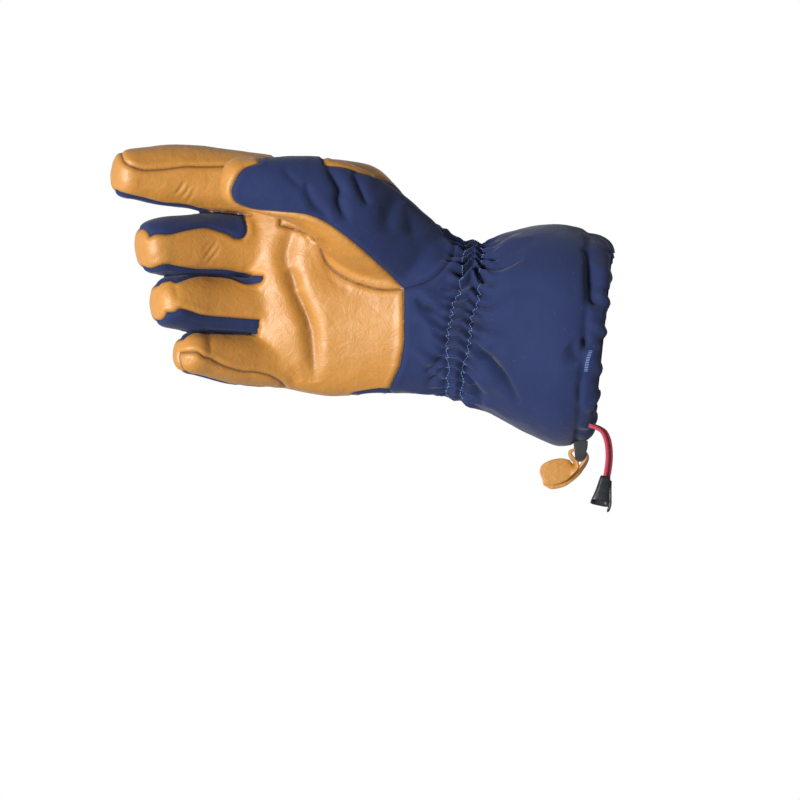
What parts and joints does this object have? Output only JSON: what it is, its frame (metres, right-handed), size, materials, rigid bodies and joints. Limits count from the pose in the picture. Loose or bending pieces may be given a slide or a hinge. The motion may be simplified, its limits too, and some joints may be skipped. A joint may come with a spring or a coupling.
{
  "type": "insulated gauntlet glove",
  "caption": "Insulated gauntlet glove for a right hand in a light pinch grip, with a leather palm, softshell back, gathered wrist, flared cuff, drawcord hem and pull tab.",
  "frame": {"origin": "middle of the cuff's opening, where the forearm goes in", "axes": "+X out of the cuff along the forearm, +Y towards the back of the hand, +Z towards the thumb side"},
  "size_m": [0.2668, 0.1027, 0.1929],
  "materials": {
    "tan_leather": "soft goat leather with a fine grain and a low sheen",
    "navy_softshell": "matt stretch-woven softshell",
    "red_drawcord": "braided elastic cord",
    "black_plastic": "moulded, satin",
    "black_webbing": "narrow woven webbing"
  },
  "bodies": {
    "root": {"palm_leather": "tan_leather", "index_side_leather": "tan_leather", "little_side_leather": "tan_leather", "thumb_leather": "tan_leather", "thumb_back": "navy_softshell", "hand_back": "navy_softshell", "fourchette_index_middle": "navy_softshell", "fourchette_middle_ring": "navy_softshell", "fourchette_ring_little": "navy_softshell", "gauntlet": "navy_softshell", "cuff_hem": "navy_softshell", "drawcord_front": "red_drawcord", "drawcord_back": "red_drawcord", "cord_end": "black_plastic", "webbing_loop": "black_webbing", "pull_tab": "tan_leather"}
  },
  "joints": []
}
